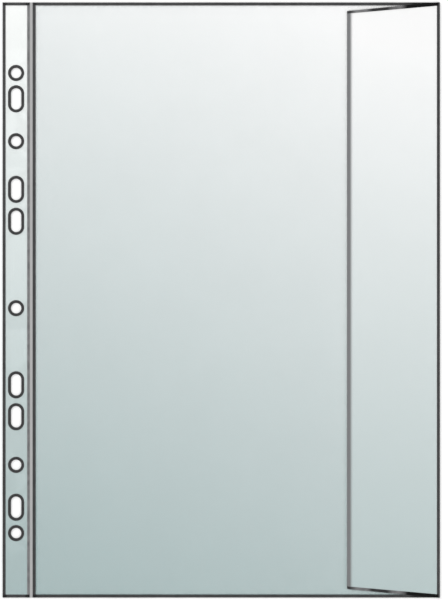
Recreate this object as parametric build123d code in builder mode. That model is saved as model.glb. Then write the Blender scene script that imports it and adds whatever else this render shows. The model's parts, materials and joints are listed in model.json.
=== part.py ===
"""Side-flap sheet protector for A4 paper: a punched filing strip, a welded film pocket and a flap.

The protector lies on its back. +X runs from the filing strip to the crease of the flap, +Y to the
head of the sheet and +Z up from the table. The origin is on the table, under the middle of the
sheet. The flap is folded shut over the front of the pocket. All lengths are in millimetres.
"""

import os

from build123d import *

# Overall size
SHEET_WIDTH = 230.0  # outer edge of the strip to the outside of the crease
SHEET_HEIGHT = 313.0  # head to foot

# Film layers
FILM_GAUGE = 0.2  # front film, rear film and flap
CORE_GAUGE = 0.45  # stiff reinforcing tape inside the strip
WEB_GAUGE = 0.3  # the tape pressed thin, where it runs on as the hinge web
POCKET_GAP = 0.5  # room for paper between the two films
FLAP_CLEARANCE = 0.3  # front film to the closed flap

# Filing strip
STRIP_WIDTH = 14.2
WEB_WIDTH = 1.6  # bare, flexible web between the strip and the pocket
HOLE_RADIUS = 2.75  # ring holes, and the round ends of the slots
SLOT_LENGTH = 11.3  # end to end
PATTERN_DROP = 1.6  # the middle of the hole pattern, below the middle of the sheet
CENTRE_DROP = 2.7  # the centre hole, below the middle of the pattern
RING_SPAN = 242.0  # outer round holes, centre to centre
INNER_SLOT_SPACING = 86.0  # innermost slots, centre to centre
SLOT_LAND = 5.5  # film left between an inner slot and the next one out
OUTER_LAND = 5.2  # film left between an outer slot and the outer round hole
MIDWAY_SHIFT = 1.5  # the round hole between two slots, outwards of halfway

# Cut-and-seal beads round the edges
SEAL_WIDTH = 1.6
SEAL_ROUND = 0.3  # rounding of a bead's outer corners

# Flap and mouth of the pocket
FLAP_WIDTH = 48.9  # outside of the crease to the free edge
FLAP_TAPER = 4.7  # the free edge is this much shorter at each end
FLAP_CORNER_RADIUS = 0.8
CREASE_LEG = 0.15  # straight part of the crease at each end of its bend
MOUTH_SETBACK = 0.6  # free edge of the front film, short of the crease's axis

# Edges of the sheet and levels of its layers
left = -SHEET_WIDTH / 2
right = SHEET_WIDTH / 2
head = SHEET_HEIGHT / 2
core_level = FILM_GAUGE
strip_front_level = core_level + CORE_GAUGE
strip_thickness = strip_front_level + FILM_GAUGE
web_level = (strip_thickness - WEB_GAUGE) / 2
pocket_front_level = FILM_GAUGE + POCKET_GAP
pocket_thickness = pocket_front_level + FILM_GAUGE
flap_level = pocket_thickness + FLAP_CLEARANCE

# Places across the sheet, from the strip to the crease
strip_right = left + STRIP_WIDTH
pocket_left = strip_right + WEB_WIDTH
film_left = pocket_left + SEAL_WIDTH
seal_inside = head - SEAL_WIDTH  # inner faces of the head and foot beads
crease_radius = (flap_level + FILM_GAUGE) / 2
crease_x = right - crease_radius
film_right = crease_x - CREASE_LEG
mouth_x = crease_x - MOUTH_SETBACK
flap_free_x = right - FLAP_WIDTH

# Ring holes, all on the middle line of the strip
hole_x = left + STRIP_WIDTH / 2
inner_slot_y = INNER_SLOT_SPACING / 2
middle_slot_y = inner_slot_y + SLOT_LENGTH + SLOT_LAND
outer_hole_y = RING_SPAN / 2
outer_slot_y = outer_hole_y - HOLE_RADIUS - OUTER_LAND - SLOT_LENGTH / 2
midway_hole_y = (middle_slot_y + outer_slot_y) / 2 + MIDWAY_SHIFT
hole_places = (-outer_hole_y, -midway_hole_y, -CENTRE_DROP, midway_hole_y, outer_hole_y)
hole_heights = [y - PATTERN_DROP for y in hole_places]
slot_places = (inner_slot_y, middle_slot_y, outer_slot_y)
slot_heights = [sign * y - PATTERN_DROP for sign in (-1, 1) for y in slot_places]


def keep(part, label):
    """Label a finished piece, write it to its own file and print what it is."""
    part.label = label
    export_step(part, f"parts/{label}.step")
    box = part.bounding_box()
    print(f"{label:18s} {part.volume:9.2f} mm3, z {box.min.Z:.2f} to {box.max.Z:.2f}")


def flat_film(x_from, x_to, half_height, bottom, gauge):
    """A rectangle of film between two X values, centred on the X axis."""
    with BuildPart() as film:
        with BuildSketch(Plane.XY.offset(bottom)):
            with Locations((x_from, 0)):
                Rectangle(x_to - x_from, 2 * half_height, align=(Align.MIN, Align.CENTER))
        extrude(amount=gauge)
    return film.part


def punched_layer(bottom, gauge):
    """One layer of the filing strip, inside its beads, with all its ring holes and slots."""
    with BuildPart() as layer:
        with BuildSketch(Plane.XY.offset(bottom)):
            with Locations((strip_right, 0)):
                Rectangle(STRIP_WIDTH - SEAL_WIDTH, 2 * seal_inside, align=(Align.MAX, Align.CENTER))
            with Locations(*[(hole_x, y) for y in hole_heights]):
                Circle(HOLE_RADIUS, mode=Mode.SUBTRACT)
            with Locations(*[(hole_x, y) for y in slot_heights]):
                SlotOverall(SLOT_LENGTH, 2 * HOLE_RADIUS, rotation=90, mode=Mode.SUBTRACT)
        extrude(amount=gauge)
    return layer.part


def seal_bead(middle, length, height):
    """A bead along a welded edge. The plane stands across the middle of the bead, on its outer side:
    its X axis points in towards the film and its Y axis up."""
    with BuildPart() as bead:
        with BuildSketch(middle):
            Rectangle(SEAL_WIDTH, height, align=Align.MIN)
            outer_corners = vertices().group_by(Axis.X)[0]
            fillet(outer_corners, min(SEAL_ROUND, 0.45 * height))
        extrude(amount=length / 2, both=True)
    return bead.part


def end_bead(end, x_from, x_to, height):
    """A bead along the head edge (end 1) or the foot edge (end -1), between two X values."""
    middle = Plane(origin=((x_from + x_to) / 2, end * head, 0), x_dir=(0, -end, 0), z_dir=(-end, 0, 0))
    return seal_bead(middle, x_to - x_from, height)


def side_bead(x_outer, height):
    """A bead along a left-hand edge, between the head and foot beads."""
    middle = Plane(origin=(x_outer, 0, 0), x_dir=(1, 0, 0), z_dir=(0, -1, 0))
    return seal_bead(middle, 2 * seal_inside, height)


os.makedirs("parts", exist_ok=True)

# Filing strip: reinforcing tape between two film layers, sealed round three edges
keep(punched_layer(0, FILM_GAUGE), "strip_rear_layer")
keep(punched_layer(core_level, CORE_GAUGE), "strip_core")
keep(punched_layer(strip_front_level, FILM_GAUGE), "strip_front_layer")
keep(end_bead(1, left, strip_right, strip_thickness), "strip_head_bead")
keep(end_bead(-1, left, strip_right, strip_thickness), "strip_foot_bead")
keep(side_bead(left, strip_thickness), "strip_outer_bead")

# Hinge web: the tape alone, on which the pocket turns like a page
keep(flat_film(strip_right, pocket_left, head, web_level, WEB_GAUGE), "hinge_web")

# Pocket: two films sealed at the strip side, the head and the foot, open towards the crease
keep(flat_film(film_left, film_right, seal_inside, 0, FILM_GAUGE), "rear_film")
keep(flat_film(film_left, mouth_x, seal_inside, pocket_front_level, FILM_GAUGE), "front_film")
keep(end_bead(1, pocket_left, film_right, pocket_thickness), "pocket_head_bead")
keep(end_bead(-1, pocket_left, film_right, pocket_thickness), "pocket_foot_bead")
keep(side_bead(pocket_left, pocket_thickness), "pocket_spine_bead")

# Crease: the rear film bent back over the mouth, a half round with a short leg at each end
with BuildPart() as flap_crease:
    with BuildSketch(Plane(origin=(crease_x, 0, crease_radius), x_dir=(1, 0, 0), z_dir=(0, -1, 0))):
        Circle(crease_radius)
        Circle(crease_radius - FILM_GAUGE, mode=Mode.SUBTRACT)
        Rectangle(2 * crease_radius, 2 * crease_radius, align=(Align.MAX, Align.CENTER), mode=Mode.SUBTRACT)
        with GridLocations(0, 2 * crease_radius - FILM_GAUGE, 1, 2):
            Rectangle(CREASE_LEG, FILM_GAUGE, align=(Align.MAX, Align.CENTER))
    extrude(amount=head, both=True)
keep(flap_crease.part, "flap_crease")

# Flap: the end of the rear film, cut narrower towards its free edge
with BuildPart() as flap:
    with BuildSketch(Plane.XY.offset(flap_level)):
        with BuildLine():
            Polyline(
                (film_right, -head),
                (film_right, head),
                (flap_free_x, head - FLAP_TAPER),
                (flap_free_x, FLAP_TAPER - head),
                close=True,
            )
        make_face()
        free_corners = vertices().group_by(Axis.X)[0]
        fillet(free_corners, FLAP_CORNER_RADIUS)
    extrude(amount=FILM_GAUGE)
keep(flap.part, "flap")

print(f"inside of the pocket {film_right - film_left:.2f} by {2 * seal_inside:.2f} mm")
print(f"crease axis x {crease_x:.3f} z {crease_radius:.3f} mm")
print(f"web axis x {(strip_right + pocket_left) / 2:.3f} z {strip_thickness / 2:.3f} mm")
round_list = ", ".join(f"{y:.1f}" for y in hole_heights)
slot_list = ", ".join(f"{y:.1f}" for y in slot_heights)
print(f"ring holes at x {hole_x:.3f}, round at y {round_list}, slots at y {slot_list} mm")
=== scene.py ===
# %% [markdown]
# # A sheet protector with a side flap
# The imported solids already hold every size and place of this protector: a punched filing strip, a
# pocket of two clear films welded together, and a flap that folds over the pocket's mouth. This lesson
# dresses those solids. Each step first says what a piece is on the real object, and then builds it with
# mesh operators.

# %% Load the frame
import json
import math

import bmesh
import bpy
from mathutils import Color, Matrix, Vector, noise


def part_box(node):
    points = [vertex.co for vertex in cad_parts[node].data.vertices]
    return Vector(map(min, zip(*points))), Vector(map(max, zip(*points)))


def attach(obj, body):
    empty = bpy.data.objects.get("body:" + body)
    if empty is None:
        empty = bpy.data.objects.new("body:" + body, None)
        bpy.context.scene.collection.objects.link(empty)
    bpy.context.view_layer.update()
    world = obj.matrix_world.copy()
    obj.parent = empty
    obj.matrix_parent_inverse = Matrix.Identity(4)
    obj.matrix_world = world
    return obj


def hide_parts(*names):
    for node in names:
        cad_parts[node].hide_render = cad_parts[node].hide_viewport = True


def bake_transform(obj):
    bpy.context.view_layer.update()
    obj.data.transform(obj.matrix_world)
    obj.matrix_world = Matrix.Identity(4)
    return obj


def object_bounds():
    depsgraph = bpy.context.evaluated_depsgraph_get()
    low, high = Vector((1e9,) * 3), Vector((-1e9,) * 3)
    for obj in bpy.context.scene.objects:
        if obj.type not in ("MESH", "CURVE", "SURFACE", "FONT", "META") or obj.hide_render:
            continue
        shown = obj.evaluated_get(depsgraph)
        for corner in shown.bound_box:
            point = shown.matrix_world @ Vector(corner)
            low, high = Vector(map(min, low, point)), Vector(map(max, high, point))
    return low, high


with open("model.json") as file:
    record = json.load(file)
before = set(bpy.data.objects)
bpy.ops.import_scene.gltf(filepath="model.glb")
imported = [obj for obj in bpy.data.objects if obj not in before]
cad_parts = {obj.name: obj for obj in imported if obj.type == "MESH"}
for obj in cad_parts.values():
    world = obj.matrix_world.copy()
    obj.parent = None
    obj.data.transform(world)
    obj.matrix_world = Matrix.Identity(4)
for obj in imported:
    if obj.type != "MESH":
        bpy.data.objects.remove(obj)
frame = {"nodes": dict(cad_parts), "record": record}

MM = 0.001
cad_low, cad_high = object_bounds()
print("solids measure", [round(side / MM, 2) for side in cad_high - cad_low], "mm")

# %% [markdown]
# ## Camera
# The picture looks straight down on a flat sheet. The camera hangs over it and looks along -Z, which is
# what a new camera does anyway, so it needs no turn at all. Its distance follows from the lens and from
# how much of the picture's height the sheet takes up. A longish lens keeps the other views calm.

# %% Camera over the sheet
PICTURE_PX = (448, 600)
SHEET_SIDES_PX = (2.2, 440.3)
SHEET_ENDS_PX = (2.2, 597.8)
LENS_MM = 100
SENSOR_MM = 36  # along the picture's long side

metres_per_px = (cad_high.y - cad_low.y) / (SHEET_ENDS_PX[1] - SHEET_ENDS_PX[0])
sheet_middle = (cad_low + cad_high) / 2
off_centre_px = (PICTURE_PX[0] - sum(SHEET_SIDES_PX)) / 2
camera = bpy.data.objects.new("camera", bpy.data.cameras.new("camera"))
camera.data.lens = LENS_MM
camera.data.sensor_width = SENSOR_MM
camera.location = (
    sheet_middle.x + off_centre_px * metres_per_px,
    sheet_middle.y,
    cad_high.z + PICTURE_PX[1] * metres_per_px * LENS_MM / SENSOR_MM,
)
bpy.context.scene.collection.objects.link(camera)
bpy.context.scene.camera = camera
bpy.context.scene.view_settings.view_transform = "Standard"
print(f"camera {camera.location.z:.3f} m up, {1 / metres_per_px * MM:.3f} px to a millimetre")

# %% [markdown]
# ## Node helpers
# Materials are small networks of nodes. Making them in code goes quicker with one helper that adds a
# node, sets its settings and fills its inputs, either with a plain value or with a link from another
# node's output. The nodes that come up again and again get a shorter helper each, which returns the
# output to link on.

# %% Helpers for single nodes
def add_node(tree, kind, inputs=(), **settings):
    """Add a node to a tree; a socket among its inputs is linked, and any other value is set."""
    node = tree.nodes.new(kind)
    for name, value in settings.items():
        setattr(node, name, value)
    for name, value in dict(inputs).items():
        if isinstance(value, bpy.types.NodeSocket):
            tree.links.new(value, node.inputs[name])
        else:
            node.inputs[name].default_value = value
    return node


def calculate(tree, operation, *values):
    """The result of a Math node."""
    return add_node(tree, "ShaderNodeMath", dict(enumerate(values)), operation=operation).outputs[0]


def map_range(tree, value, low, high, to_low=0.0, to_high=1.0, **settings):
    """A value moved from one range to another: low becomes to_low, and high becomes to_high."""
    inputs = {"Value": value, "From Min": low, "From Max": high, "To Min": to_low, "To Max": to_high}
    return add_node(tree, "ShaderNodeMapRange", inputs, **settings).outputs[0]


def mix_colours(tree, share, first, second, **settings):
    """A Mix node set to colours, which are then its inputs 6 and 7 and its output 2."""
    inputs = {0: share, 6: first, 7: second}
    return add_node(tree, "ShaderNodeMix", inputs, data_type="RGBA", **settings).outputs[2]


def mix_shaders(tree, share, first, second):
    """A Mix Shader: the first shader where the share is 0, and the second where it is 1."""
    inputs = {0: share, 1: first.outputs[0], 2: second.outputs[0]}
    return add_node(tree, "ShaderNodeMixShader", inputs).outputs[0]


def object_spot(tree):
    """Object coordinates: a point's place in metres, in the piece's own frame."""
    return add_node(tree, "ShaderNodeTexCoord").outputs["Object"]


def object_axes(tree):
    """The same place as three outputs, X, Y and Z."""
    return add_node(tree, "ShaderNodeSeparateXYZ", {"Vector": object_spot(tree)}).outputs


def noise_at(tree, spot, per_metre, detail):
    """A noise texture that goes up and down so many times in a metre."""
    inputs = {"Vector": spot, "Scale": per_metre, "Detail": detail}
    return add_node(tree, "ShaderNodeTexNoise", inputs).outputs[0]


def screen_colour(red, green, blue):
    """A colour as a screen shows it, 0 to 255, as the linear colour that a shader takes."""
    return (*Color((red / 255, green / 255, blue / 255)).from_srgb_to_scene_linear(), 1)


print("mid grey on a screen is", round(screen_colour(128, 128, 128)[0], 3), "to a shader")

# %% Helpers that start a material or a group
def start_material(name):
    """An empty material and its node tree."""
    material = bpy.data.materials.new(name)
    material.use_nodes = True
    material.node_tree.nodes.clear()
    return material, material.node_tree


def new_group(name, inputs, outputs):
    """Start a node group, a network that several materials share, each with its own values.
    A colour default makes a colour input, and a number a plain one."""
    group = bpy.data.node_groups.new(name, "ShaderNodeTree")
    for title, default in inputs.items():
        kind = "NodeSocketFloat" if isinstance(default, (int, float)) else "NodeSocketColor"
        group.interface.new_socket(title, in_out="INPUT", socket_type=kind).default_value = default
    for title, kind in outputs.items():
        group.interface.new_socket(title, in_out="OUTPUT", socket_type=kind)
    return group, group.nodes.new("NodeGroupInput").outputs, group.nodes.new("NodeGroupOutput").inputs


print("the frame brought", len(bpy.data.materials), "materials of its own")

# %% [markdown]
# ## Floor, sky and lamps
# The protector lies on white paper under soft light. The sky gives a bit more than half of the light,
# and two broad lamps give the rest, so that edges catch a highlight. Together they light a level
# surface at about 1, where a colour renders as it is written. Light Path makes the sky and floor plain
# white to the camera and in reflections, while the floor's own shader still takes the object's shadow.
# Lamp light fades with distance, so further out the floor turns plain white by itself, and low views
# show no horizon.

# %% White sky
SKY_LEVEL = 0.6
WHITE = (1, 1, 1, 1)


def seen_directly(tree):
    """1 for a ray from the camera, a reflection or a transmission, and 0 for one that carries light."""
    ray = add_node(tree, "ShaderNodeLightPath").outputs
    seen = calculate(tree, "MAXIMUM", ray["Is Camera Ray"], ray["Is Glossy Ray"])
    return calculate(tree, "MAXIMUM", seen, ray["Is Transmission Ray"])


sky = bpy.data.worlds.new("white_sky")
sky.use_nodes = True
sky_tree = sky.node_tree
sky_tree.nodes.clear()
sky_light = add_node(sky_tree, "ShaderNodeBackground", {"Color": WHITE, "Strength": SKY_LEVEL})
sky_seen = add_node(sky_tree, "ShaderNodeBackground", {"Color": WHITE, "Strength": 1.0})
sky_mix = mix_shaders(sky_tree, seen_directly(sky_tree), sky_light, sky_seen)
add_node(sky_tree, "ShaderNodeOutputWorld", {"Surface": sky_mix})
bpy.context.scene.world = sky
print("sky gives light at", SKY_LEVEL)

# %% White floor
FLOOR_HALF = 6.0
FLOOR_WHITE = (0.8, 0.8, 0.8, 1)
FLOOR_GLOW = 0.2  # what the camera sees on top of the lit floor, so that it reaches white
FLOOR_LIT = 0.5  # metres from the middle, up to which the lit floor shows
FLOOR_PLAIN = 1.5  # and from which it is plain white

floor_paint, paint_tree = start_material("white_floor")
seen = seen_directly(paint_tree)
glow_level = calculate(paint_tree, "MULTIPLY", seen, FLOOR_GLOW)
floor_lit = add_node(paint_tree, "ShaderNodeBsdfDiffuse", {"Color": FLOOR_WHITE})
floor_glow = add_node(paint_tree, "ShaderNodeEmission", {"Strength": glow_level})
floor_near = add_node(
    paint_tree, "ShaderNodeAddShader", {0: floor_lit.outputs[0], 1: floor_glow.outputs[0]}
)
floor_far = add_node(paint_tree, "ShaderNodeEmission", {"Strength": 1.0})
reach = add_node(paint_tree, "ShaderNodeVectorMath", {0: object_spot(paint_tree)}, operation="LENGTH")
far_share = map_range(
    paint_tree,
    reach.outputs["Value"],
    FLOOR_LIT,
    FLOOR_PLAIN,
    to_high=seen,
    interpolation_type="SMOOTHSTEP",
)
floor_mix = mix_shaders(paint_tree, far_share, floor_near, floor_far)
add_node(paint_tree, "ShaderNodeOutputMaterial", {"Surface": floor_mix})

bm = bmesh.new()
bmesh.ops.create_grid(bm, x_segments=1, y_segments=1, size=FLOOR_HALF)
floor_mesh = bpy.data.meshes.new("floor")
bm.to_mesh(floor_mesh)
bm.free()
floor_mesh.materials.append(floor_paint)
floor = bpy.data.objects.new("floor", floor_mesh)
bpy.context.scene.collection.objects.link(floor)
print("floor", 2 * FLOOR_HALF, "m wide")

# %% Two soft lamps
LAMP_SIZE = 1.4
LAMPS = {"key_lamp": ((-1.3, 1.1, 1.9), 28), "fill_lamp": ((1.5, -0.9, 1.8), 18)}  # place and watts

for name, (place, watts) in LAMPS.items():
    lamp = bpy.data.objects.new(name, bpy.data.lights.new(name, "AREA"))
    lamp.data.energy = watts
    lamp.data.size = LAMP_SIZE
    lamp.location = place
    lamp.rotation_euler = (-Vector(place)).to_track_quat("-Z", "Y").to_euler()
    lamp.visible_camera = False
    bpy.context.scene.collection.objects.link(lamp)
    print(name, "stands", round(Vector(place).length, 2), "m away with", watts, "W")

# %% [markdown]
# ## Painted sheen of the film
# Clear film reflects what is round it. Here that sheen is painted into the film's colour: it runs from
# nearly white at the head to a cool blue-grey at the foot, a touch lighter towards the flap. An image
# could hold that, but a group that reads Object coordinates needs no file and carries on unbroken from
# one film to the next. A slow cloud of haze, a tone of the film's own, keeps it alive.

# %% Painted sheen group
HAZE_PER_METRE = 22
EVEN_TO_EYE = 1.17  # bends the mix of two linear colours so that it looks even on a screen
NOISE_LOW, NOISE_HIGH = 0.3, 0.7  # a noise texture seldom leaves this range
MID_GREY = (0.5, 0.5, 0.5, 1)


def sway(tree, colour, noise_value, amount):
    """A colour that noise makes darker and paler, by a share of itself each way."""
    swing = map_range(tree, noise_value, NOISE_LOW, NOISE_HIGH, to_low=-1.0)
    gain = calculate(tree, "MULTIPLY_ADD", swing, amount, 1.0)
    inputs = {0: colour, "Scale": gain}
    return add_node(tree, "ShaderNodeVectorMath", inputs, operation="SCALE").outputs[0]


sheen_and_haze_group, given, result = new_group(
    "painted_sheen_and_haze",
    {"Head": WHITE, "Foot": MID_GREY, "Side Sheen": 0.0, "Haze": 0.01},
    {"Color": "NodeSocketColor"},
)
axes = object_axes(sheen_and_haze_group)
# painted sheen: the colour runs from Foot to Head up the sheet, and grows lighter towards the flap side
up_share = map_range(sheen_and_haze_group, axes["Y"], cad_low.y, cad_high.y, clamp=False)
side_share = map_range(
    sheen_and_haze_group, axes["X"], cad_low.x, cad_high.x, to_high=given["Side Sheen"], clamp=False
)
share = calculate(sheen_and_haze_group, "ADD", up_share, side_share)
even_share = calculate(sheen_and_haze_group, "POWER", share, EVEN_TO_EYE)
painted_sheen = mix_colours(
    sheen_and_haze_group, even_share, given["Foot"], given["Head"], clamp_factor=False, clamp_result=True
)
cloud = noise_at(sheen_and_haze_group, object_spot(sheen_and_haze_group), HAZE_PER_METRE, detail=4)
sheen_and_haze_group.links.new(sway(sheen_and_haze_group, painted_sheen, cloud, given["Haze"]), result["Color"])
print("tint group has", len(sheen_and_haze_group.nodes), "nodes")

# %% [markdown]
# ## Skin of the film
# Pocket film is embossed with a grain too fine to see one by one, so that paper doesn't stick to it. It
# also cockles slightly over a hand's width, and handling leaves faint hairlines. The group gives a
# height in millimetres for a Bump node and a roughness, both from noise, which is stretched for the
# hairlines.

# %% Skin group
GRAIN_PER_METRE = 1500
COCKLE_PER_METRE = 11
HAIRLINES_PER_METRE = (1800, 22, 22)
HAIRLINE_STARTS, HAIRLINE_FULL = 0.55, 0.72  # levels of the stretched noise

skin_group, given, result = new_group(
    "film_skin",
    {"Roughness": 0.25, "Hairlines": 0.1, "Grain mm": 0.003, "Cockle mm": 0.1},
    {"Roughness": "NodeSocketFloat", "Height": "NodeSocketFloat"},
)
spot = object_spot(skin_group)
grain = noise_at(skin_group, spot, GRAIN_PER_METRE, detail=2)
grain_height = calculate(skin_group, "MULTIPLY", grain, given["Grain mm"])
cockle = noise_at(skin_group, spot, COCKLE_PER_METRE, detail=1)
height = calculate(skin_group, "MULTIPLY_ADD", cockle, given["Cockle mm"], grain_height)
stretched = add_node(skin_group, "ShaderNodeMapping", {"Vector": spot, "Scale": HAIRLINES_PER_METRE})
streaks = noise_at(skin_group, stretched.outputs[0], 1.0, detail=3)
hairlines = map_range(skin_group, streaks, HAIRLINE_STARTS, HAIRLINE_FULL)
roughness = calculate(skin_group, "MULTIPLY_ADD", hairlines, given["Hairlines"], given["Roughness"])
skin_group.links.new(roughness, result["Roughness"])
skin_group.links.new(height, result["Height"])
print("grain is", round(1 / GRAIN_PER_METRE / MM, 2), "mm across")

# %% [markdown]
# ## Melted edge
# A hot wire cuts the film and fuses its layers in one pass. The melt draws back into a dark, slightly
# uneven line. The beads, the rims of the holes and the cut edges all come from that, so they share one
# group: a shade that swings darker and paler with a ripple a few millimetres long, and a height for the
# Bump node.

# %% Melt group
RIPPLE_PER_METRE = 320
PITS_PER_METRE = 2400
PIT_ROUGHNESS = 0.2  # what the deepest pits add

melt_group, given, result = new_group(
    "melted_edge",
    {"Shade": MID_GREY, "Swing": 0.2, "Roughness": 0.3, "Ripple mm": 0.02},
    {"Color": "NodeSocketColor", "Roughness": "NodeSocketFloat", "Height": "NodeSocketFloat"},
)
spot = object_spot(melt_group)
ripple = noise_at(melt_group, spot, RIPPLE_PER_METRE, detail=3)
pits = noise_at(melt_group, spot, PITS_PER_METRE, detail=1)
melt_roughness = calculate(melt_group, "MULTIPLY_ADD", pits, PIT_ROUGHNESS, given["Roughness"])
melt_height = calculate(melt_group, "MULTIPLY", ripple, given["Ripple mm"])
melt_group.links.new(sway(melt_group, given["Shade"], ripple, given["Swing"]), result["Color"])
melt_group.links.new(melt_roughness, result["Roughness"])
melt_group.links.new(melt_height, result["Height"])
print("melt ripple is", round(1 / RIPPLE_PER_METRE / MM, 1), "mm long")

# %% [markdown]
# ## Line that fades into the film
# The flap's free edge is cut hot but not welded to anything, so its line is paler, and on the film's
# side it has no sharp border. Faces of their own would give it one. This group measures along X
# instead: the edge is solid up to one place and has turned into film at another, with a smooth step
# between.

# %% Fading edge group
LINE_ALPHA = 0.95  # what the solid line hides

edge_group, given, result = new_group(
    "fading_edge",
    {"Line": MID_GREY, "Film": WHITE, "Film Alpha": 0.5, "Solid X": 0.0, "Clear X": 0.001},
    {"Color": "NodeSocketColor", "Alpha": "NodeSocketFloat"},
)
to_film = map_range(
    edge_group,
    object_axes(edge_group)["X"],
    given["Solid X"],
    given["Clear X"],
    interpolation_type="SMOOTHSTEP",
)
edge_colour = mix_colours(edge_group, to_film, given["Line"], given["Film"])
edge_alpha = map_range(edge_group, to_film, 0.0, 1.0, to_low=LINE_ALPHA, to_high=given["Film Alpha"])
edge_group.links.new(edge_colour, result["Color"])
edge_group.links.new(edge_alpha, result["Alpha"])
print("fading edge group has", len(edge_group.nodes), "nodes")

# %% [markdown]
# ## Film materials
# Glass shaders bend light, but film this thin hardly does, so a Principled shader with Alpha is closer
# and renders clean. Each film is a closed slab, so a look through it crosses two faces. A lamp's ray
# meets a nearly clear Transparent shader instead, through Light Path, because real film casts only a
# faint shadow.

# %% Function for clear film
FILM_IOR = 1.49
LAMP_PASSES = (0.984, 0.986, 0.986, 1)  # share of lamp light that one face lets through


def film_material(name, sheen_values, skin, alpha, line=None):
    """Clear film: the first values go to the group that paints the sheen of reflected light into its
    colour, skin to the skin group, and alpha is how much one face hides.
    A line, if any, is the melted one along a free edge: its colour, and where along X it is solid up to
    and clear from."""
    material, tree = start_material(name)
    sheen_node = add_node(tree, "ShaderNodeGroup", sheen_values, node_tree=sheen_and_haze_group)
    skinned = add_node(tree, "ShaderNodeGroup", skin, node_tree=skin_group)
    bump = add_node(tree, "ShaderNodeBump", {"Height": skinned.outputs["Height"], "Distance": MM})
    colour, hiding = sheen_node.outputs["Color"], alpha
    if line:
        titles = ("Line", "Solid X", "Clear X", "Film", "Film Alpha")
        edge = dict(zip(titles, (*line, colour, alpha)))
        edged = add_node(tree, "ShaderNodeGroup", edge, node_tree=edge_group)
        colour, hiding = edged.outputs["Color"], edged.outputs["Alpha"]
    film = add_node(
        tree,
        "ShaderNodeBsdfPrincipled",
        {
            "Base Color": colour,
            "Roughness": skinned.outputs["Roughness"],
            "Normal": bump.outputs[0],
            "IOR": FILM_IOR,
            "Alpha": hiding,
        },
    )
    to_lamps = add_node(tree, "ShaderNodeBsdfTransparent", {"Color": LAMP_PASSES})
    ray = add_node(tree, "ShaderNodeLightPath").outputs
    both = mix_shaders(tree, ray["Is Shadow Ray"], film, to_lamps)
    add_node(tree, "ShaderNodeOutputMaterial", {"Surface": both})
    print(f"{name}: a pane of two faces hides {1 - (1 - alpha) ** 2:.0%}")
    return material


print(f"a pane of two faces lets {LAMP_PASSES[1] ** 2:.0%} of a lamp's light through")

# %% Four clear films
FLAP_LINE = 1.3 * MM  # solid part of the line along the flap's free edge
FLAP_FADE = 2.0 * MM

flap_low, flap_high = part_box("flap")
line_end = flap_low.x + FLAP_LINE
# Head, Foot and the side value paint the sheen of reflected light into each film: near white at the
# head, blue-grey at the foot
pocket_film = film_material(
    "pocket_film",
    {
        "Head": screen_colour(231, 235, 235),
        "Foot": screen_colour(134, 166, 166),
        "Side Sheen": 0.29,
        "Haze": 0.012,
    },
    {"Roughness": 0.22, "Hairlines": 0.05, "Grain mm": 0.004, "Cockle mm": 0.3},
    alpha=0.25,
)
flap_film = film_material(
    "flap_film",
    {
        "Head": screen_colour(253, 254, 254),
        "Foot": screen_colour(192, 208, 208),
        "Side Sheen": 0.12,
        "Haze": 0.006,
    },
    {"Roughness": 0.22, "Hairlines": 0.05, "Grain mm": 0.004, "Cockle mm": 0.25},
    alpha=0.52,
    line=(screen_colour(112, 113, 114), line_end, line_end + FLAP_FADE),
)
strip_film = film_material(
    "strip_film",
    {"Head": screen_colour(252, 253, 252), "Foot": screen_colour(180, 198, 198), "Haze": 0.006},
    {"Roughness": 0.25, "Hairlines": 0.03, "Grain mm": 0.004, "Cockle mm": 0.02},
    alpha=0.45,
)
core_film = film_material(
    "core_film",
    {"Head": screen_colour(254, 255, 255), "Foot": screen_colour(180, 198, 198), "Haze": 0.02},
    {"Roughness": 0.4, "Hairlines": 0.05, "Grain mm": 0.008, "Cockle mm": 0.0},
    alpha=0.45,
)

# %% [markdown]
# ## Melt materials
# The melted edges are solid and fairly glossy. Where melt is thin, beside the hinge web, it is a paler
# grey. At the corners two runs of the wire cross, and melt pools there and is nearly black. Along the
# flap's slanting ends the wire ran unevenly. A colour ramp along X gives those edges their dark and
# pale stretches without a hard border.

# %% Melted edges
WELD_GREY, SEAM_GREY, RIM_GREY, THIN_GREY, POOL_GREY = 48, 54, 42, 110, 3  # levels on a screen
MELT_SWING = 0.25
MELT_RIPPLE_MM = 0.02


def grey_ramp(tree, stops):
    """A colour output that runs through greys, each at its place along X."""
    first, last = stops[0][0], stops[-1][0]
    share = map_range(tree, object_axes(tree)["X"], first, last)
    ramp = add_node(tree, "ShaderNodeValToRGB", {0: share})
    for place, _ in stops[1:-1]:
        ramp.color_ramp.elements.new((place - first) / (last - first))
    for element, (_, grey) in zip(ramp.color_ramp.elements, stops):
        element.color = screen_colour(grey, grey, grey + 1)
    return ramp.outputs[0]


def melt_material(name, grey, roughness, shine):
    """A melted edge. Its grey is one level, or a list of places along X with a level each."""
    material, tree = start_material(name)
    shade = grey_ramp(tree, grey) if isinstance(grey, list) else screen_colour(grey, grey, grey + 1)
    melt = add_node(
        tree,
        "ShaderNodeGroup",
        {"Shade": shade, "Swing": MELT_SWING, "Roughness": roughness, "Ripple mm": MELT_RIPPLE_MM},
        node_tree=melt_group,
    )
    bump = add_node(tree, "ShaderNodeBump", {"Height": melt.outputs["Height"], "Distance": MM})
    edge = add_node(
        tree,
        "ShaderNodeBsdfPrincipled",
        {
            "Base Color": melt.outputs["Color"],
            "Roughness": melt.outputs["Roughness"],
            "Normal": bump.outputs[0],
            "IOR": FILM_IOR,
            "Specular IOR Level": shine,
        },
    )
    add_node(tree, "ShaderNodeOutputMaterial", {"Surface": edge.outputs[0]})
    print(name, "made with", len(tree.nodes), "nodes")
    return material


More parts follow.
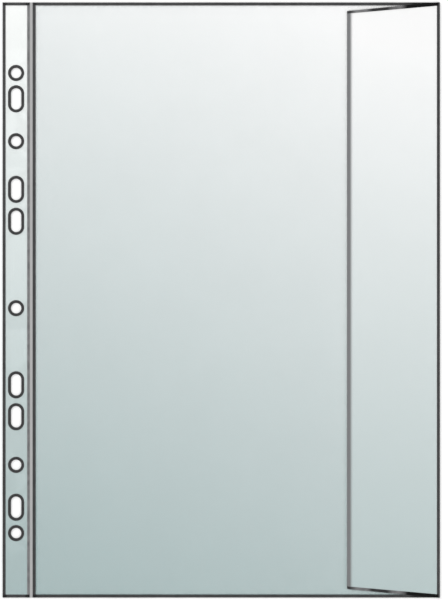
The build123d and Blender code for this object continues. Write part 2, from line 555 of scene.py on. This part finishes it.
weld_melt = melt_material("weld_melt", WELD_GREY, roughness=0.35, shine=0.3)
rim_melt = melt_material("rim_melt", RIM_GREY, roughness=0.35, shine=0.3)
thin_melt = melt_material("thin_melt", THIN_GREY, roughness=0.35, shine=0.3)

# %% Melt that pools at corners
POOL_FULL = 1.6 * MM  # along an edge, melt is pooled this far from a corner
POOL_GONE = 2.72 * MM  # and has thinned out here
FOLD_POOL_FULL = 12.8 * MM  # the same where the flap is folded over the pocket's edge
FOLD_POOL_GONE = 16.0 * MM

strip_low, strip_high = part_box("strip_head_bead")
pocket_low, pocket_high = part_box("pocket_head_bead")
corner_melt = melt_material(
    "corner_melt",
    [
        (strip_low.x + POOL_FULL, POOL_GREY),
        (strip_low.x + POOL_GONE, SEAM_GREY),
        (strip_high.x - POOL_GONE, SEAM_GREY),
        (strip_high.x - POOL_FULL, POOL_GREY),
        (pocket_low.x + POOL_FULL, POOL_GREY),
        (pocket_low.x + POOL_GONE, SEAM_GREY),
        (pocket_high.x - FOLD_POOL_GONE, SEAM_GREY),
        (pocket_high.x - FOLD_POOL_FULL, POOL_GREY),
    ],
    roughness=0.4,
    shine=0.25,
)

# %% Melt that pools along the flap's slanting ends
# From and to, as shares of the end's length, and a grey
END_POOLS = ((0.0, 0.03, SEAM_GREY), (0.28, 0.44, WELD_GREY), (0.66, 1.0, POOL_GREY))
END_FADE = 0.07  # how far a pool takes to thin out

end_shares = []
for start, stop, grey in END_POOLS:
    end_shares += [(start - END_FADE, THIN_GREY), (start, grey)]
    end_shares += [(stop, grey), (stop + END_FADE, THIN_GREY)]
end_melt = melt_material(
    "end_melt",
    [(flap_low.x + share * (flap_high.x - flap_low.x), grey) for share, grey in end_shares],
    roughness=0.5,
    shine=0.1,
)

# %% [markdown]
# ## Milky tape
# The web between the strip and the pocket is a milky tape, mat and solid. Alpha could make it let some
# light through, but only the table lies behind it, so a solid shader does. It uses the same two groups
# as the films, with other values.

# %% Tape material
milky_tape, tape_tree = start_material("milky_tape")
# Head and Foot are nearly equal here, so the tape keeps its own grey with haze and almost no painted
# sheen
tape_tint = add_node(
    tape_tree,
    "ShaderNodeGroup",
    {"Head": screen_colour(167, 167, 167), "Foot": screen_colour(169, 169, 169), "Haze": 0.03},
    node_tree=sheen_and_haze_group,
)
tape_skin = add_node(
    tape_tree,
    "ShaderNodeGroup",
    {"Roughness": 0.45, "Hairlines": 0.1, "Grain mm": 0.008, "Cockle mm": 0.0},
    node_tree=skin_group,
)
tape_height = tape_skin.outputs["Height"]
tape_bump = add_node(tape_tree, "ShaderNodeBump", {"Height": tape_height, "Distance": MM})
tape = add_node(
    tape_tree,
    "ShaderNodeBsdfPrincipled",
    {
        "Base Color": tape_tint.outputs["Color"],
        "Roughness": tape_skin.outputs["Roughness"],
        "Normal": tape_bump.outputs[0],
        "IOR": FILM_IOR,
    },
)
add_node(tape_tree, "ShaderNodeOutputMaterial", {"Surface": tape.outputs[0]})
print("milky tape made with", len(tape_tree.nodes), "nodes")

# %% [markdown]
# ## From bmesh to piece
# Every piece ends the same way: doubles are merged, faces turned outwards, edges that turn sharply are
# marked so that smooth shading stops there, and the mesh becomes an object at the origin. The helper
# prints the piece's box, and counts edges without two faces, which would be holes in a wall.

# %% Helper that finishes a piece
SHARP_TURN = math.radians(32)
MERGE_GAP = 0.0005 * MM


def finish_piece(name, bm, *materials):
    """Turn a bmesh into a linked object with its materials."""
    bmesh.ops.remove_doubles(bm, verts=bm.verts, dist=MERGE_GAP)
    bmesh.ops.recalc_face_normals(bm, faces=bm.faces)
    for face in bm.faces:
        face.smooth = True
    for edge in bm.edges:
        edge.smooth = edge.calc_face_angle(math.pi) < SHARP_TURN
    open_edges = sum(not edge.is_manifold for edge in bm.edges)
    mesh = bpy.data.meshes.new(name)
    bm.to_mesh(mesh)
    bm.free()
    for material in materials:
        mesh.materials.append(material)
    piece = bpy.data.objects.new(name, mesh)
    bpy.context.scene.collection.objects.link(piece)
    corners = [[vert.co[axis] / MM for vert in mesh.vertices] for axis in range(3)]
    box = ", ".join(f"{min(values):.2f} to {max(values):.2f}" for values in corners)
    print(f"{name}: {len(mesh.polygons)} faces, {open_edges} open edges, box {box} mm")
    return piece


print("edges that turn less than", round(math.degrees(SHARP_TURN)), "degrees are shaded smooth")

# %% Helpers that several pieces use
def grid_between(bm, low, high, columns, rows):
    """A level grid over the rectangle between two corners, at the height of the upper one."""
    bmesh.ops.create_grid(bm, x_segments=columns, y_segments=rows, size=0.5)
    bmesh.ops.scale(bm, vec=(high.x - low.x, high.y - low.y, 1), verts=bm.verts)
    middle = (low + high) / 2
    bmesh.ops.translate(bm, vec=(middle.x, middle.y, high.z), verts=bm.verts)


def cut(bm, place, normal, **options):
    """Cut every face of a mesh that a plane crosses."""
    whole = bm.verts[:] + bm.edges[:] + bm.faces[:]
    bmesh.ops.bisect_plane(bm, geom=whole, plane_co=place, plane_no=normal, **options)


def push_edges(bm, edges, offset):
    """Extrude edges sideways; returns the new faces and the edges at their far side."""
    made = bmesh.ops.extrude_edge_only(bm, edges=edges)["geom"]
    verts = {part for part in made if isinstance(part, bmesh.types.BMVert)}
    bmesh.ops.translate(bm, vec=offset, verts=list(verts))
    faces = [part for part in made if isinstance(part, bmesh.types.BMFace)]
    made_edges = [part for part in made if isinstance(part, bmesh.types.BMEdge)]
    far_edges = [edge for edge in made_edges if verts.issuperset(edge.verts)]
    return faces, far_edges


def span(edge, axis):
    """How far an edge reaches along an axis."""
    return abs(edge.verts[0].co[axis] - edge.verts[1].co[axis])


def turn_up(bm):
    """Turn the faces of a flat sheet that point down."""
    bm.normal_update()
    bmesh.ops.reverse_faces(bm, faces=[face for face in bm.faces if face.normal.z < 0])


print(len(frame["nodes"]), "solids wait to be dressed")

# %% [markdown]
# ## Punched films of the filing strip
# The strip is a tape between two films, punched with round holes and with slots for rings at other
# spacings. Each hole has a dark melted rim. A boolean would punch the holes, but leave no faces for a
# rim. So the rim is two loops bridged together, and the film between all the rims and the outline is
# one triangle fill, which no hole breaks. A slot is a circle pulled apart along Y. The places come from
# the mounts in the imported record, so they always agree with the solids.

# %% Where the holes are
ring_holes = []
for mount in frame["record"]["mounts"]:
    place = Vector(mount["pos_m"])
    if mount["kind"] == "bore":
        ring_holes.append((place, mount["dims"]["r_mm"] * MM, 0.0))
    elif mount["kind"] == "bolt_pattern":
        pull = (mount["dims"]["slot_length_mm"] - 2 * mount["dims"]["hole_r_mm"]) * MM
        for end in (-1, 1):
            slot_place = place + Vector((0, end * mount["dims"]["spacing_y_mm"] / 2 * MM, 0))
            ring_holes.append((slot_place, mount["dims"]["hole_r_mm"] * MM, pull))
print(len(ring_holes), "holes, of which", sum(pull > 0 for _, _, pull in ring_holes), "are slots")

# %% The flat film, its rims and its weld band
RIM_WIDTH = 1.5 * MM
RIM_SEGMENTS = 48
WELD_BAND = 1.25 * MM  # grey weld along the strip's inner edge
STRIP_ROWS = 80
RIM_FACE, BAND_FACE = 1, 2
HAIR = 0.01 * MM  # two places nearer than this are the same


def ring_outline(bm, place, radius, pull):
    """The outline of a hole, as edges; pull is the length of a slot's straight sides."""
    half_step = Matrix.Rotation(math.pi / RIM_SEGMENTS, 4, "Z")
    verts = bmesh.ops.create_circle(bm, segments=RIM_SEGMENTS, radius=radius, matrix=half_step)["verts"]
    for vert in verts:
        vert.co.y += math.copysign(pull / 2, vert.co.y)
    bmesh.ops.translate(bm, vec=(place.x, place.y, 0), verts=verts)
    return list(dict.fromkeys(edge for vert in verts for edge in vert.link_edges))


def flat_punched_film(low, high):
    """A flat film at height 0, with a rim round every hole and a weld band along its inner edge."""
    bm = bmesh.new()
    band_start = high.x - WELD_BAND
    grid_between(bm, low, Vector((band_start, high.y, 0)), 1, 1)
    bmesh.ops.delete(bm, geom=bm.faces[:], context="FACES_ONLY")
    sides = [edge for edge in bm.edges if span(edge, 0) < HAIR]
    bmesh.ops.subdivide_edges(bm, edges=sides, cuts=STRIP_ROWS - 1)
    fill_edges = bm.edges[:]
    inner_side = [edge for edge in bm.edges if min(vert.co.x for vert in edge.verts) > band_start - HAIR]
    rim_faces = []
    for place, radius, pull in ring_holes:
        hole_edges = ring_outline(bm, place, radius, pull)
        rim_edges = ring_outline(bm, place, radius + RIM_WIDTH, pull)
        rim_faces += bmesh.ops.bridge_loops(bm, edges=hole_edges + rim_edges)["faces"]
        fill_edges += rim_edges
    for face in rim_faces:
        face.material_index = RIM_FACE
    bmesh.ops.triangle_fill(bm, use_beauty=True, edges=fill_edges, normal=(0, 0, 1))
    for face in push_edges(bm, inner_side, (WELD_BAND, 0, 0))[0]:
        face.material_index = BAND_FACE
    return bm


print("rims are", round(RIM_WIDTH / MM, 2), "mm wide, with", RIM_SEGMENTS, "steps round")

# %% Build the punched films
RIM_SLOPE = 0.3 * MM
RIM_RISE = 0.09 * MM  # on the front only, the back lies flat on the table
LOOKS_UP = 0.5  # least Z of the normal of a face that looks up


def punched_film(name, node, rim_rise):
    """A film of the strip as a closed slab, with its rims raised."""
    low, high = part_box(node)
    bm = flat_punched_film(low, high)
    turn_up(bm)
    bmesh.ops.translate(bm, vec=(0, 0, high.z), verts=bm.verts)
    bmesh.ops.solidify(bm, geom=bm.faces[:], thickness=high.z - low.z)
    bm.normal_update()
    if rim_rise:
        rims = [face for face in bm.faces if face.material_index == RIM_FACE]
        bmesh.ops.inset_region(
            bm,
            faces=[face for face in rims if face.normal.z > LOOKS_UP],
            thickness=RIM_SLOPE,
            depth=rim_rise,
            use_boundary=True,
            use_even_offset=True,
        )
    return finish_piece(name, bm, strip_film, rim_melt, thin_melt)


strip_front = punched_film("strip_front_film", "strip_front_layer", RIM_RISE)
strip_rear = punched_film("strip_rear_film", "strip_rear_layer", 0)
for piece, node in ((strip_front, "strip_front_layer"), (strip_rear, "strip_rear_layer")):
    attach(piece, "filing_strip")
    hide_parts(node)

# %% [markdown]
# ## Tape core of the strip
# The solid of the tape core already has the right shape, holes and all, and hides between the films. It
# stays as it is and only gets its material.

# %% Dress the tape core
core = frame["nodes"]["strip_core"]
core.data.materials.clear()
core.data.materials.append(core_film)
print("strip_core keeps its solid of", len(core.data.polygons), "faces")

# %% [markdown]
# ## Weld beads
# The hot wire runs round three sides of the strip and of the pocket, and leaves a rounded bead on each.
# On the real object that is one continuous melt, so each bead is one U rather than three bars. A
# rectangle is inset by the bead's width, its middle and open side are deleted, and the U gets its
# thickness. Then its outer corners are bevelled round, and a little noise pushes the surface in and out
# as melt does.

# %% The flat U of a bead
BEAD_STEP = 4.0 * MM  # length of one step along the bead
LONG_RUN = 3  # an edge of more widths than this runs along the bead


def flat_u(low, high, width):
    """A flat U round the left side, the head and the foot, in short steps, open to the right."""
    bm = bmesh.new()
    grid_between(bm, low, Vector((high.x + 2 * width, high.y, high.z)), 1, 1)
    middle = bm.faces[:]
    inset = bmesh.ops.inset_region(
        bm, faces=middle, thickness=width, use_boundary=True, use_even_offset=True
    )
    open_side = max(inset["faces"], key=lambda face: face.calc_center_median().x)
    bmesh.ops.delete(bm, geom=middle + [open_side], context="FACES")
    cut(bm, (high.x, 0, 0), (1, 0, 0), clear_outer=True)
    for axis in (0, 1):
        runs = [edge for edge in bm.edges if span(edge, axis) > LONG_RUN * width]
        steps = round(max(edge.calc_length() for edge in runs) / BEAD_STEP)
        bmesh.ops.subdivide_edges(bm, edges=runs, cuts=steps, use_grid_fill=True)
    return bm


print("a bead bends at every", round(BEAD_STEP / MM, 1), "mm")

# %% Build the beads
BEAD_ROUND = 0.15 * MM
ROUND_STEPS = 4
BEAD_RIPPLE = 0.03 * MM
RIPPLE_INWARDS = 0.5  # melt draws back more than it swells
RIPPLE_WAVES = 110  # to a metre
RIPPLE_SHARE = 0.8  # of the bead's width, from the outside
RIPPLE_FROM = 0.1 * MM  # above the table


def weld_bead(name, head_node):
    """A bead round the left side, the head and the foot, open to the right."""
    head_low, head_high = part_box(head_node)
    width = head_high.y - head_low.y
    low, high = Vector((head_low.x, -head_high.y, head_low.z)), head_high
    bm = flat_u(low, high, width)
    bmesh.ops.solidify(bm, geom=bm.faces[:], thickness=high.z - low.z)

    def is_outer(edge):
        """Whether an edge runs along an outer corner of the bead."""
        at_left = all(abs(vert.co.x - low.x) < HAIR for vert in edge.verts)
        at_end = all(abs(abs(vert.co.y) - high.y) < HAIR for vert in edge.verts)
        return span(edge, 2) < HAIR and (at_left or at_end)

    bmesh.ops.bevel(
        bm,
        geom=[edge for edge in bm.edges if is_outer(edge)],
        offset=BEAD_ROUND,
        offset_type="OFFSET",
        segments=ROUND_STEPS,
        profile=0.5,
        affect="EDGES",
        material=-1,
    )
    bm.normal_update()
    rippled = RIPPLE_SHARE * width
    for vert in bm.verts:
        ripples = vert.co.x < low.x + rippled or abs(vert.co.y) > high.y - rippled
        if ripples and vert.co.z > low.z + RIPPLE_FROM and vert.co.x < high.x - width:
            wave = noise.noise(vert.co * RIPPLE_WAVES) - RIPPLE_INWARDS
            vert.co += vert.normal * BEAD_RIPPLE * wave
    for y in (low.y + width, high.y - width):
        cut(bm, (0, y, 0), (0, 1, 0))
    for face in bm.faces:
        face.material_index = int(abs(face.calc_center_median().y) > high.y - width)
    return finish_piece(name, bm, weld_melt, corner_melt)


strip_bead = weld_bead("strip_weld_bead", "strip_head_bead")
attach(strip_bead, "filing_strip")
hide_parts("strip_head_bead", "strip_foot_bead", "strip_outer_bead")
pocket_bead = weld_bead("pocket_weld_bead", "pocket_head_bead")
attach(pocket_bead, "pocket")
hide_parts("pocket_head_bead", "pocket_foot_bead", "pocket_spine_bead")

# %% [markdown]
# ## Hinge web
# Between the strip and the pocket only the tape is left, rolled thin so that it bends easily, and never
# quite flat. It is a fine grid with a little noise, made a closed slab, with several columns of points
# across its width.

# %% Build the hinge web
WEB_COLUMNS, WEB_ROWS = 8, 156
WEB_WAVE = 0.04 * MM
WEB_WAVES = 90  # to a metre

web_low, web_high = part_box("hinge_web")
bm = bmesh.new()
grid_between(bm, web_low, web_high, WEB_COLUMNS, WEB_ROWS)
for vert in bm.verts:
    vert.co.z += WEB_WAVE * noise.noise(vert.co * WEB_WAVES)
bmesh.ops.solidify(bm, geom=bm.faces[:], thickness=web_high.z - web_low.z)
web = finish_piece("rolled_hinge_web", bm, milky_tape)
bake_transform(web)
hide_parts("hinge_web")

# %% [markdown]
# ## Films of the pocket
# Two films lie one over the other with room for paper between them. Film never lies dead flat: it is
# held along its welds and goes slack in the middle. Cloth physics could shape that, but noise is
# quicker and gives the same film every time. A grid takes its slack from noise that fades out towards
# the welded edges, and is then made a closed slab. The rear film only rises, because it lies on the
# table.

# %% Build the two films
FILM_COLUMNS, FILM_ROWS = 54, 78
SLACK_FADE = 24 * MM  # how far from a weld the film is fully slack
SLACK_WAVES = (13, 9)  # to a metre, across and along
FRONT_SLACK = (-0.16 * MM, 0.04 * MM)  # lowest and highest
REAR_SLACK = (0.0, 0.14 * MM)
FRONT_SEED, REAR_SEED = 2.7, 8.3  # where the noise is read, so that the two films differ


def ease(share):
    """A share from 0 to 1 that starts and stops gently."""
    share = min(max(share, 0.0), 1.0)
    return share * share * (3 - 2 * share)


def slow_wave(spot, waves, seed):
    """Slow noise over a film, from 0 to 1."""
    wave = noise.noise(Vector((spot.x * waves[0], spot.y * waves[1], seed))) / 2 + 0.5
    return min(max(wave, 0.0), 1.0)


def pocket_sheet(name, node, slack, seed):
    """A film of the pocket whose slack lies between two heights."""
    low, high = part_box(node)
    lowest, highest = slack
    bm = bmesh.new()
    grid_between(bm, low, high, FILM_COLUMNS, FILM_ROWS)
    for vert in bm.verts:
        from_weld = min(vert.co.x - low.x, vert.co.y - low.y, high.y - vert.co.y)
        wave = slow_wave(vert.co, SLACK_WAVES, seed)
        vert.co.z += ease(from_weld / SLACK_FADE) * (lowest + (highest - lowest) * wave)
    bmesh.ops.solidify(bm, geom=bm.faces[:], thickness=high.z - low.z)
    return finish_piece(name, bm, pocket_film)


front_sheet = pocket_sheet("pocket_front_film", "front_film", FRONT_SLACK, FRONT_SEED)
rear_sheet = pocket_sheet("pocket_rear_film", "rear_film", REAR_SLACK, REAR_SEED)
for piece, node in ((front_sheet, "front_film"), (rear_sheet, "rear_film")):
    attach(piece, "pocket")
    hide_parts(node)

# %% [markdown]
# ## Crease
# At the mouth the rear film turns over in a tight half round and comes back as the flap. A line along
# Y, spun half a turn about the middle of the bend, gives exactly that, with a short straight leg
# extruded at each end.

# %% Spin the crease
CREASE_STEPS = 16
CREASE_ROWS = 60

crease_low, crease_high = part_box("flap_crease")
rear_low, rear_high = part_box("rear_film")
joints = {joint["name"]: joint for joint in frame["record"]["behaviour"]["joints"]}
fold_place = joints["flap_fold"]["pos_m"]
leg = Vector((fold_place[0] - crease_low.x, 0, 0))

bm = bmesh.new()
line_ends = [bm.verts.new((crease_low.x, y, crease_low.z)) for y in (crease_low.y, crease_high.y)]
bmesh.ops.subdivide_edges(bm, edges=[bm.edges.new(line_ends)], cuts=CREASE_ROWS - 1)
bend_start = push_edges(bm, bm.edges[:], leg)[1]
bend = bmesh.ops.spin(
    bm,
    geom=bend_start,
    cent=fold_place,
    axis=(0, -1, 0),
    angle=math.pi,
    steps=CREASE_STEPS,
    use_merge=False,
)
bend_end = [part for part in bend["geom_last"] if isinstance(part, bmesh.types.BMEdge)]
push_edges(bm, bend_end, -leg)
print("crease has", len(bm.faces), "faces on one side")

# %% Give the crease its thickness
bmesh.ops.remove_doubles(bm, verts=bm.verts, dist=MERGE_GAP)
bmesh.ops.recalc_face_normals(bm, faces=bm.faces)
bm.normal_update()
lowest = min(bm.faces, key=lambda face: face.calc_center_median().z)
if lowest.normal.z > 0:
    bmesh.ops.reverse_faces(bm, faces=bm.faces[:])
bmesh.ops.solidify(bm, geom=bm.faces[:], thickness=rear_high.z - rear_low.z)
crease = finish_piece("folded_crease", bm, weld_melt)
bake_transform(crease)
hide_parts("flap_crease")

# %% [markdown]
# ## Flap
# The flap is the end of the rear film, cut narrower towards its free edge, with small round corners and
# a melted line all round. Four corners make one face, and a vertex bevel rounds two of them. An inset
# would cross itself in such tight corners, so each melted line is cut off with a plane instead. More
# cuts give the face enough points to sag a little towards the pocket, never up, so that it also lies
# flat when it is opened onto the table.

# %% Cut the flap's outline
FLAP_CORNER = 0.73 * MM  # along each edge, for a corner of 0.8 mm radius
CORNER_STEPS = 5

flap_solid = frame["nodes"]["flap"].data
free_edge = [vert.co.y for vert in flap_solid.vertices if vert.co.x < flap_low.x + HAIR]
free_corner = max(free_edge) + FLAP_CORNER  # where the edges would meet without the round
corners = (
    (flap_high.x, flap_low.y),
    (flap_high.x, flap_high.y),
    (flap_low.x, free_corner),
    (flap_low.x, -free_corner),
)
bm = bmesh.new()
outline = [bm.verts.new((x, y, flap_high.z)) for x, y in corners]
bm.faces.new(outline)
bmesh.ops.bevel(
    bm,
    geom=outline[2:],
    offset=FLAP_CORNER,
    offset_type="OFFSET",
    segments=CORNER_STEPS,
    profile=0.5,
    affect="VERTICES",
    material=-1,
)
print(f"flap outline has {len(bm.verts)} corners, its free edge is {2 * free_corner / MM:.1f} mm long")

# %% Cut its melted lines
END_LINE = 1.4 * MM
FOLD_LINE = 0.8 * MM
FOLD_POOL = 0.4 * MM  # how much wider the end lines grow towards the fold


def outside(face, place, normal):
    """Whether the middle of a face lies on the side of a plane that its normal points to."""
    return (face.calc_center_median() - place).dot(normal) > 0


fold_line = Vector((flap_high.x - FOLD_LINE, 0, 0)), Vector((1, 0, 0))
end_lines = []
for end in (-1, 1):
    at_free_edge = Vector((flap_low.x, end * (free_corner - END_LINE), 0))
    at_fold = Vector((flap_high.x, end * (flap_high.y - END_LINE - FOLD_POOL), 0))
    run = at_fold - at_free_edge
    end_lines.append((at_free_edge, end * Vector((-run.y, run.x, 0))))
for place, normal in (fold_line, *end_lines):
    cut(bm, place, normal)
print("flap cut into", len(bm.faces), "faces")

# %% Slice it and let it sag
FLAP_SAG = 0.16 * MM
FLAP_SLICES = (12, 52)
FLAP_WAVES = (10, 14)  # to a metre, across and along
FLAP_SEED = 5.1
END_FACE, FOLD_FACE = 1, 2

for axis, count in enumerate(FLAP_SLICES):
    for index in range(1, count):
        cut(bm, flap_low.lerp(flap_high, index / count), Vector((axis == 0, axis == 1, 0)))
for face in bm.faces:
    if any(outside(face, *line) for line in end_lines):
        face.material_index = END_FACE
    elif outside(face, *fold_line):
        face.material_index = FOLD_FACE
for vert in bm.verts:
    from_fold = ease((flap_high.x - vert.co.x) / (flap_high.x - flap_low.x))
    vert.co.z -= FLAP_SAG * from_fold * slow_wave(vert.co, FLAP_WAVES, FLAP_SEED)
turn_up(bm)
bmesh.ops.solidify(bm, geom=bm.faces[:], thickness=flap_high.z - flap_low.z)
flap = finish_piece("closing_flap", bm, flap_film, end_melt, weld_melt)
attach(flap, "flap")
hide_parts("flap")
